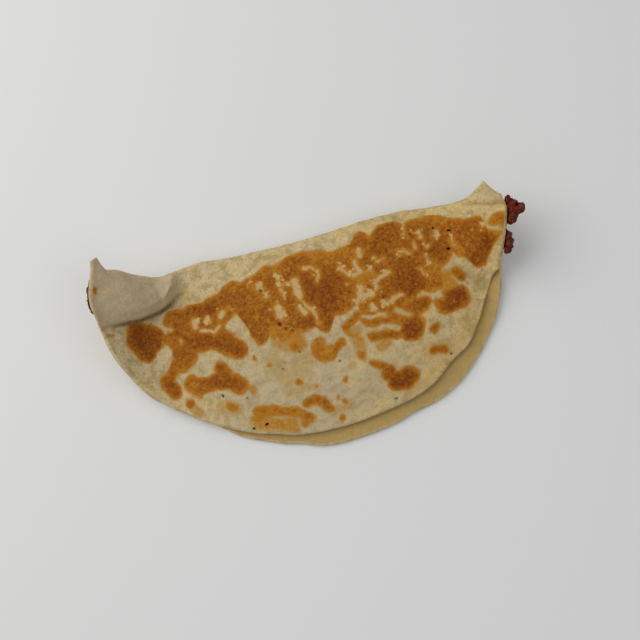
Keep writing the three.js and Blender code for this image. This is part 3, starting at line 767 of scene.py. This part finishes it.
def skin_marks(flat, points, starts):
    """The marks that the skin's material reads, by name, at each point."""
    u, v = flat[..., 0], flat[..., 1]
    marks = {name: np.zeros(u.shape) for name in SKIN_MARKS}
    edge, gold, lace, char, flour, inside, speck, crease, yellow = marks.values()
    inside[:, starts[4]:starts[7]] = 1
    yellow += smooth(*YELLOWER, u) * (1 - inside)
    edge -= EDGE_LIMIT

    under = slice(starts[0], starts[1])
    off_rim = smooth(*UNDER_RIM["share"], steps(1, 0, LOWER_STEPS))
    edge[:, under] = underside_edge(points[:, under]) * off_rim - UNDER_RIM["edge"] * (1 - off_rim)
    char[:, under] = smooth(*UNDER_CHAR_SPAN, noise_of(UNDER_CHAR, points[:, under]))

    top = slice(starts[2], starts[3])
    top_u, top_v = u[:, top], v[:, top]
    edge[:, top] = toast_edge(top_u, top_v)
    gold[:, top] = stains(top_u, top_v, GOLD_STROKES)
    char[:, top] = stains(top_u, top_v, CHAR_STROKES) - stains(top_u, top_v, LIGHT_STROKES)
    lace[:, top] = smooth(0, LACE_REACH, band_edge(top_u, top_v)) * (1 - np.maximum(char[:, top], 0))
    # painted shade along the soft valleys near the right tip
    shades = [strength * bell(path_distance(top_u, top_v, path), width) for width, strength, *path in VALLEY_SHADES]
    # painted shade under the flap's edge: a sharp line, and a softer, wider one in front of it
    sharp = crease_sharpness(top_u)
    shades.append(beside_crease(top_u, top_v, CREASE_LINE) * sharp)
    soft = SOFT_CREASE_SHADE["shade"] * beside_crease(top_u, top_v, SOFT_CREASE_SHADE)
    crease[:, top] = np.max([*shades, soft * (flap_strength(top_u) - sharp)], axis=0)
    for spot_u, spot_v, radius in SPECKS:
        away = np.hypot(top_u - spot_u, top_v - spot_v)
        spot = smooth(radius + SPECK_SOFTNESS, radius - SPECK_SOFTNESS, away)
        speck[:, top] = np.maximum(speck[:, top], spot)

    wide_patch = np.hypot((u - FLOUR["u"]) / FLOUR["longer"], v - FLOUR["v"])
    flour += FLOUR["strength"] * bell(wide_patch, FLOUR["width"]) * (1 - inside)
    shown = slice(starts[1], starts[3])
    on_flap = smooth(*FLAP_FLOUR["span"], u[:, shown]) * smooth(-1, 1, crease_distance(u, v)[:, shown])
    flour[:, shown] = np.maximum(flour[:, shown], FLAP_FLOUR["strength"] * on_flap)
    over_fold = slice(starts[1], starts[2])
    fold_u = u[:, over_fold]
    side = (1 + np.sin(steps(-QUARTER_TURN, QUARTER_TURN, FOLD_STEPS))) / 2
    # painted shade along the dog-ear's fold line
    crease[:, over_fold] = EAR_LINE["shade"] * ear_line(side, fold_u)
    wide, high = EAR_FLOUR["width"]
    on_ear = np.hypot((fold_u - EAR_FLOUR["u"]) / wide, (side - EAR_FLOUR["side"]) / high)
    flour[:, over_fold] = np.maximum(flour[:, over_fold], EAR_FLOUR["strength"] * bell(on_ear, 1))
    return marks


def tortilla_piece():
    flat, sizes, marks = fold_tortilla()
    starts = np.cumsum([0] + sizes)
    points = curl(flat)
    faces = closed_faces(*flat.shape[:2], starts[3] + len(RIM_ARC) // 2, marks)
    piece = mesh_object("folded_tortilla", points.reshape(-1, 3), faces)
    for name, values in skin_marks(flat, points, starts).items():
        attribute = piece.data.attributes.new(name, "FLOAT", "POINT")
        attribute.data.foreach_set("value", values.astype(np.float32).ravel())
    return piece


# The filling

def filling_core():
    """The body of the filling, from the solid's own sizes, with crumbly relief."""
    stations = station_at(FILLING_STATIONS, FILLING_TIP)[:, None]
    depth = layer_at(UPPER, stations)[1]
    reach = np.maximum(LEAST_REACH, 1 - FILLING_INSET / depth)
    lower = steps(1, 0, FILLING_STEPS["lower"]) * reach
    fold = steps(-QUARTER_TURN, QUARTER_TURN, FILLING_STEPS["fold"]) + 0 * stations
    upper = np.linspace(0, 1, FILLING_STEPS["upper"]) * reach

    def crumbly(make, where):
        inset = SHEET + FILLING_CLEAR
        plain = curl(make(stations, where, inset, is_filling=True))
        dip = sum(np.abs(noise_of(kind, plain)) for kind in FILLING_DIPS)
        return make(stations, where, inset + dip, is_filling=True)

    parts = [crumbly(lower_flat, lower), crumbly(fold_flat, fold), crumbly(upper_flat, upper)]
    flat = np.concatenate(parts, axis=1)
    rings, size = flat.shape[:2]
    marks = [min(k, size - 1 - k) for k in range(size)]
    faces = closed_faces(rings, size, size // 2, marks)
    return mesh_object("meat_filling", curl(flat).reshape(-1, 3), faces)


def room_at(u, v, gap):
    """The room between the layers: from the lower sheet's upper face to the upper sheet's lower one."""
    lower_u, lower_depth = layer_at(LOWER, np.clip(station_of(LOWER, u), -1, 1))
    station = np.clip(station_of(UPPER, u), -1, 1)
    upper_u, upper_depth = layer_at(UPPER, station)
    radius = fold_height(upper_u) / 2
    on_lower = (np.abs(u - lower_u) < PAST_RIM) & (-v < lower_depth + PAST_RIM)
    under_upper = (np.abs(u - upper_u) < PAST_RIM) & (-v < upper_depth + PAST_RIM)
    fraction = np.clip((-v - radius) / np.maximum(1, upper_depth - radius), 0, 1)
    ceiling = top_height(station, fraction, u, v, -v, True) - SHEET - gap
    return np.where(on_lower, SHEET + gap, -ANY_HEIGHT), np.where(under_upper, ceiling, ANY_HEIGHT)


def unit_ball(cuts):
    """Points and triangles of a round ball."""
    ball = bpy.data.meshes.new("ball")
    work = bmesh.new()
    bmesh.ops.create_icosphere(work, subdivisions=cuts, radius=1.0)
    work.to_mesh(ball)
    work.free()
    points = np.array([vertex.co[:] for vertex in ball.vertices])
    faces = [tuple(polygon.vertices) for polygon in ball.polygons]
    bpy.data.meshes.remove(ball)
    return points, faces


def bumpy_ball(shape, sizes, shift):
    """A ball's points, moved in and out by noise."""
    swell = sum((by * noise(shape * often, 1.0, shift) for by, often in sizes), 1)
    return shape * swell[:, None]


def joined(name, lumps):
    """One mesh object from lumps, each given as its points and its faces."""
    starts = np.cumsum([0] + [len(points) for points, _ in lumps]).tolist()
    faces = []
    for start, (_, lump_faces) in zip(starts, lumps):
        faces += [tuple(k + start for k in face) for face in lump_faces]
    return mesh_object(name, np.concatenate([points for points, _ in lumps]), faces)


def crumb_pieces():
    """Crumbs of meat in the mouths at both ends, each an uneven lump of its own."""
    large, small = unit_ball(4), unit_ball(3)
    lumps = []
    for spots, seed in ((MEAT_MOUTHS, CRUMB_SEED), (MEAT_AT_FOLD, CRUMB_SEED + 1)):
        rng = np.random.default_rng(seed)
        plan = [(spot, large) for spot in spots]
        for u, v, h, radius in spots:
            for _ in range(CRUMB_BITS["each"]):
                away = rng.normal(0, CRUMB_BITS["spread"], 3) * radius
                size = radius * rng.uniform(CRUMB_BITS["least"], CRUMB_BITS["most"])
                plan.append(((u + away[0], v + away[1], h + CRUMB_BITS["height"] * away[2], size), small))
        for (u, v, h, radius), (shape, faces) in plan:
            stretch = rng.uniform(*CRUMB_STRETCH, 3)
            shift = rng.uniform(0, SHIFTS)
            lump = bumpy_ball(shape, CRUMB_BUMPS, shift) * radius * stretch + (u, v, h)
            low, high = room_at(lump[:, 0], lump[:, 1], CLEAR / 2)
            lump[:, 2] = np.clip(lump[:, 2], low, np.maximum(low, high))
            lumps.append((curl(lump), faces))
    return joined("meat_crumbs", lumps)


def fleck_pieces():
    """Black flecks of char, lying on the top."""
    rng = np.random.default_rng(FLECK_SEED)
    shape, faces = unit_ball(2)
    lumps = []
    for (u, v), length, width, turn in FLECKS:
        station = station_of(UPPER, u)
        _, depth = layer_at(UPPER, station)
        radius = fold_height(u) / 2
        fraction = (-v + fold_shift(u, 1, 0) - radius) / (depth - radius)
        top = top_height(station, fraction, u, v, -v)
        top = float(top + relief(curl(np.array([u, v, float(top)])), u, v))
        fleck = bumpy_ball(shape, FLECK_BUMPS, rng.uniform(0, SHIFTS)) * (length / 2, width / 2, FLECK_HEIGHT)
        cos, sin = math.cos(math.radians(turn)), math.sin(math.radians(turn))
        spin = np.array([[cos, -sin, 0], [sin, cos, 0], [0, 0, 1]])
        lumps.append((curl(fleck @ spin.T + (u, v, top + FLECK_ABOVE)), faces))
    return joined("char_flecks", lumps)


# Materials

def srgb(red, green, blue):
    """A colour from its 0 to 255 screen values."""
    shares = [value / 255 for value in (red, green, blue)]
    linear = [share / 12.92 if share <= 0.04045 else ((share + 0.055) / 1.055) ** 2.4 for share in shares]
    return (*linear, 1.0)


# Where a Mix node has its factor and its two colours
COLOUR_MIX_SOCKETS = (0, 6, 7)


class Paint:
    """A material in the making: helpers that add its nodes, and the colour painted so far."""

    def __init__(self, name, colour):
        self.material = bpy.data.materials.new(name)
        self.material.use_nodes = True
        self.tree = self.material.node_tree
        self.colour = colour
        self.place = self.node("ShaderNodeTexCoord").outputs["Object"]

    def feed(self, socket, value):
        """Sets a socket to a plain value, or links it."""
        if isinstance(value, (tuple, float, int)):
            socket.default_value = value
        else:
            self.tree.links.new(value, socket)

    def node(self, kind, values=None, **settings):
        """A node with its settings, and with inputs set or linked."""
        made = self.tree.nodes.new(kind)
        for name, value in settings.items():
            setattr(made, name, value)
        for name, value in (values or {}).items():
            self.feed(made.inputs[name], value)
        return made

    def attribute(self, name):
        return self.node("ShaderNodeAttribute", attribute_name=name).outputs["Fac"]

    def noise(self, size, detail=3.0, roughness=0.5, shift=0.0):
        """Noise with lumps of the given size in mm, from 0 to 1."""
        mapping = self.node("ShaderNodeMapping", {"Vector": self.place, "Location": (shift, shift, shift)})
        values = {"Scale": 1 / (size * MM), "Detail": detail, "Roughness": roughness}
        values["Vector"] = mapping.outputs["Vector"]
        return self.node("ShaderNodeTexNoise", values).outputs["Fac"]

    def math(self, operation, *values, clamp=False):
        made = self.node("ShaderNodeMath", dict(enumerate(values)), operation=operation, use_clamp=clamp)
        return made.outputs["Value"]

    def times(self, first, second, clamp=False):
        return self.math("MULTIPLY", first, second, clamp=clamp)

    def swung(self, value, texture, by):
        """A value moved up and down by a texture, whose middle is 0.5."""
        return self.math("MULTIPLY_ADD", self.math("SUBTRACT", texture, 0.5), by, value)

    def ramp(self, value, low, high, to_low=0.0, to_high=1.0):
        values = {"Value": value, "From Min": low, "From Max": high, "To Min": to_low, "To Max": to_high}
        made = self.node("ShaderNodeMapRange", values, interpolation_type="SMOOTHSTEP")
        return made.outputs["Result"]

    def lay(self, factor, colour):
        """Lays a colour over what is painted so far."""
        values = dict(zip(COLOUR_MIX_SOCKETS, (factor, self.colour, colour)))
        self.colour = self.node("ShaderNodeMix", values, data_type="RGBA").outputs[2]

    def bump(self, height, distance, strength, below=None):
        values = {"Height": height, "Distance": distance * MM, "Strength": strength}
        if below is not None:
            values["Normal"] = below
        return self.node("ShaderNodeBump", values).outputs["Normal"]

    def finish(self, values):
        """The material, with its colour and with these inputs of its shader set or linked."""
        shader = self.tree.nodes["Principled BSDF"]
        for name, value in {"Base Color": self.colour, **values}.items():
            self.feed(shader.inputs[name], value)
        return self.material


DOUGH = srgb(210, 188, 144)
DOUGH_PALE = srgb(222, 204, 164)
DOUGH_YELLOW = srgb(218, 184, 112)
DOUGH_FLOURY = srgb(190, 172, 140)
DOUGH_DULL = srgb(176, 150, 100)
DOUGH_OLIVE = srgb(172, 150, 88)
DOUGH_IN_BAND = srgb(206, 170, 114)
DOUGH_INSIDE = srgb(190, 158, 94)
# painted shade for the creases, the valleys and the dog-ear's fold line
CREASE_SHADE = srgb(116, 88, 44)
GOLD_PALE = srgb(184, 148, 80)
GOLD = srgb(188, 124, 26)
TOAST_GOLD = srgb(186, 124, 34)
TOAST_LIGHT = srgb(172, 104, 20)
TOAST_BROWN = srgb(149, 84, 12)
TOAST_DARK = srgb(127, 60, 8)
SPECK = srgb(92, 34, 22)


def tortilla_material():
    paint = Paint("toasted_tortilla", DOUGH)
    lay, ramp, times, swung = paint.lay, paint.ramp, paint.times, paint.swung
    broad = paint.noise(14, 3, 0.55)
    green = paint.noise(9, 2, 0.5, 1.7)
    middle = paint.noise(3.4, 4, 0.6, 0.3)
    holes = paint.noise(3.2, 2, 0.5, 0.5)
    mottle = paint.noise(1.8, 3, 0.6, 0.9)
    fine = paint.noise(1.1, 4, 0.65, 0.7)
    grain = paint.noise(0.45, 2, 0.6, 1.1)
    edge, gold, lace, char, flour, inside, speck, crease, yellow = map(paint.attribute, SKIN_MARKS)

    # plain dough: yellower to one side, with dull mottling and pale specks, and floury in places
    lay(paint.math("ADD", times(yellow, 0.6), ramp(broad, 0.4, 0.7, -0.1, 0.5), clamp=True), DOUGH_YELLOW)
    lay(inside, DOUGH_INSIDE)
    lay(ramp(middle, 0.55, 0.38, 0.0, 0.75), DOUGH_DULL)
    lay(ramp(fine, 0.5, 0.36, 0.0, 0.6), DOUGH_DULL)
    lay(times(ramp(green, 0.5, 0.66, 0.0, 0.8), yellow), DOUGH_OLIVE)
    lay(times(ramp(mottle, 0.56, 0.68, 0.0, 0.6), paint.math("SUBTRACT", 1.0, inside)), DOUGH_PALE)
    lay(times(flour, ramp(mottle, 0.36, 0.56, 0.35, 1.0)), DOUGH_FLOURY)
    # painted shade in the creases, the valleys and along the dog-ear's fold line
    lay(times(crease, 0.8), CREASE_SHADE)
    lay(times(lace, 0.85), DOUGH_IN_BAND)
    stain = times(gold, ramp(mottle, 0.32, 0.6, 0.6, 1.0), clamp=True)
    lay(ramp(stain, 0.0, 0.6, 0.0, 0.85), GOLD_PALE)
    lay(ramp(stain, 0.36, 1.0), GOLD)

    # toast: its edge is made uneven, small pale holes are left where it isn't charred, and it browns inwards
    uneven = paint.math("MINIMUM", swung(swung(edge, fine, 1.6), middle, 2.0), 2.8)
    uneven = paint.math("SUBTRACT", uneven, times(ramp(holes, 0.56, 0.72, 0.0, 2.6), lace))
    depth = ramp(uneven, -1.7, 2.4)
    strength = swung(swung(swung(0.66, mottle, 1.2), broad, 0.7), fine, -1.7)
    browning = times(depth, paint.math("MULTIPLY_ADD", char, 0.36, strength), clamp=True)
    lay(ramp(depth, 0.02, 0.45), TOAST_GOLD)
    lay(ramp(browning, 0.22, 0.5), TOAST_LIGHT)
    lay(ramp(browning, 0.46, 0.8), TOAST_BROWN)
    lay(ramp(browning, 0.78, 1.06), TOAST_DARK)
    lay(speck, SPECK)

    dull = paint.math("MULTIPLY_ADD", ramp(uneven, -0.2, 1.2), -0.1, 0.74)
    coarse = paint.bump(middle, 0.7, 0.7)
    return paint.finish({
        "Roughness": swung(dull, fine, 0.25),
        "Normal": paint.bump(grain, 0.1, 0.6, paint.bump(fine, 0.4, 0.9, coarse)),
        "Specular IOR Level": 0.14,
        "Subsurface Weight": 0.05,
        "Subsurface Radius": (1.0, 0.8, 0.5),
        "Subsurface Scale": 1.5 * MM,
    })


MEAT = srgb(116, 42, 4)
MEAT_DARK = srgb(76, 22, 2)
MEAT_DEEP = srgb(36, 10, 2)
# orange of the meat, partly a painted highlight
MEAT_ORANGE_HIGHLIGHT = srgb(170, 84, 16)
CHAR = srgb(16, 12, 14)
CHAR_WORN = srgb(40, 30, 28)


def meat_material():
    paint = Paint("ground_meat", MEAT_DARK)
    middle = paint.noise(2.2, 4, 0.6)
    fine = paint.noise(0.7, 4, 0.6, 0.4)
    paint.lay(paint.ramp(middle, 0.35, 0.65), MEAT)
    # orange spots: partly the meat's own colour, partly painted highlight
    paint.lay(paint.ramp(fine, 0.58, 0.72, 0.0, 0.5), MEAT_ORANGE_HIGHLIGHT)
    paint.lay(paint.ramp(fine, 0.44, 0.32, 0.0, 0.7), MEAT_DEEP)
    return paint.finish({
        "Roughness": paint.ramp(fine, 0.3, 0.7, 0.25, 0.45),
        "Normal": paint.bump(middle, 0.2, 0.5),
        "Specular IOR Level": 0.2,
    })


def char_material():
    paint = Paint("black_char", CHAR)
    paint.lay(paint.ramp(paint.noise(0.5), 0.35, 0.65), CHAR_WORN)
    return paint.finish({"Roughness": 0.8, "Specular IOR Level": 0.1})


# Stage

FLOOR_HALF = 0.9
FLOOR_COLOUR = srgb(232, 232, 230)
FLOOR_ROUGHNESS = 0.85
WORLD = {"Color": (0.93, 0.96, 1.0, 1), "Strength": 0.4}
# Lights: name, place and size in metres, power in watts and colour
LIGHTS = [
    ("key", (-0.55, 0.4, 0.62), 1.1, 5.5, (1.0, 0.98, 0.95)),
    ("fill", (0.4, -0.4, 0.7), 0.8, 1.0, (1, 1, 1)),
]
FOCAL_PIXELS = 1006
PICTURE_PIXELS = 640
SENSOR = 36.0
EYE = (0.8, -94.7, 441.6)
TILT = math.radians(12.6)
LEAN = math.radians(3.3)
FOLD_TURN = math.radians(13.5)
CLIP = (0.01, 20)


def set_camera():
    """The camera that the photograph was taken with, turned with the part's own frame."""
    camera = bpy.data.cameras.new("camera")
    camera.sensor_fit = "HORIZONTAL"
    camera.sensor_width = SENSOR
    camera.lens = FOCAL_PIXELS / PICTURE_PIXELS * SENSOR
    camera.clip_start, camera.clip_end = CLIP
    holder = add_object("camera", camera)
    turn = Euler((TILT, LEAN, -FOLD_TURN)).to_matrix().to_4x4()
    holder.matrix_world = Matrix.Translation(Vector(EYE) * MM) @ turn
    bpy.context.scene.camera = holder


def add_light(name, place, size, power, colour):
    """A round light that shines at the part."""
    light = bpy.data.lights.new(name, "AREA")
    light.shape = "DISK"
    light.size = size
    light.energy = power
    light.color = colour
    holder = add_object(name, light)
    holder.location = place
    holder.rotation_euler = (-Vector(place)).to_track_quat("-Z", "Y").to_euler()


def set_stage():
    corners = np.array([(-1, -1, 0), (1, -1, 0), (1, 1, 0), (-1, 1, 0)]) * FLOOR_HALF
    floor = mesh_object("floor", corners / MM, [(0, 1, 2, 3)], False)
    floor.data.materials.append(Paint("pale_floor", FLOOR_COLOUR).finish({"Roughness": FLOOR_ROUGHNESS}))
    world = bpy.data.worlds.new("studio")
    world.use_nodes = True
    background = world.node_tree.nodes["Background"]
    for name, value in WORLD.items():
        background.inputs[name].default_value = value
    bpy.context.scene.world = world
    for light in LIGHTS:
        add_light(*light)
    bpy.context.scene.view_settings.view_transform = "Standard"


set_camera()
tortilla = tortilla_piece()
tortilla.data.materials.append(tortilla_material())
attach(tortilla, "root")
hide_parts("tortilla")

meat = meat_material()
filling = filling_core()
filling.data.materials.append(meat)
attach(filling, "root")
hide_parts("filling")

crumbs = crumb_pieces()
crumbs.data.materials.append(meat)
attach(crumbs, "root")

flecks = fleck_pieces()
flecks.data.materials.append(char_material())
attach(flecks, "root")

set_stage()
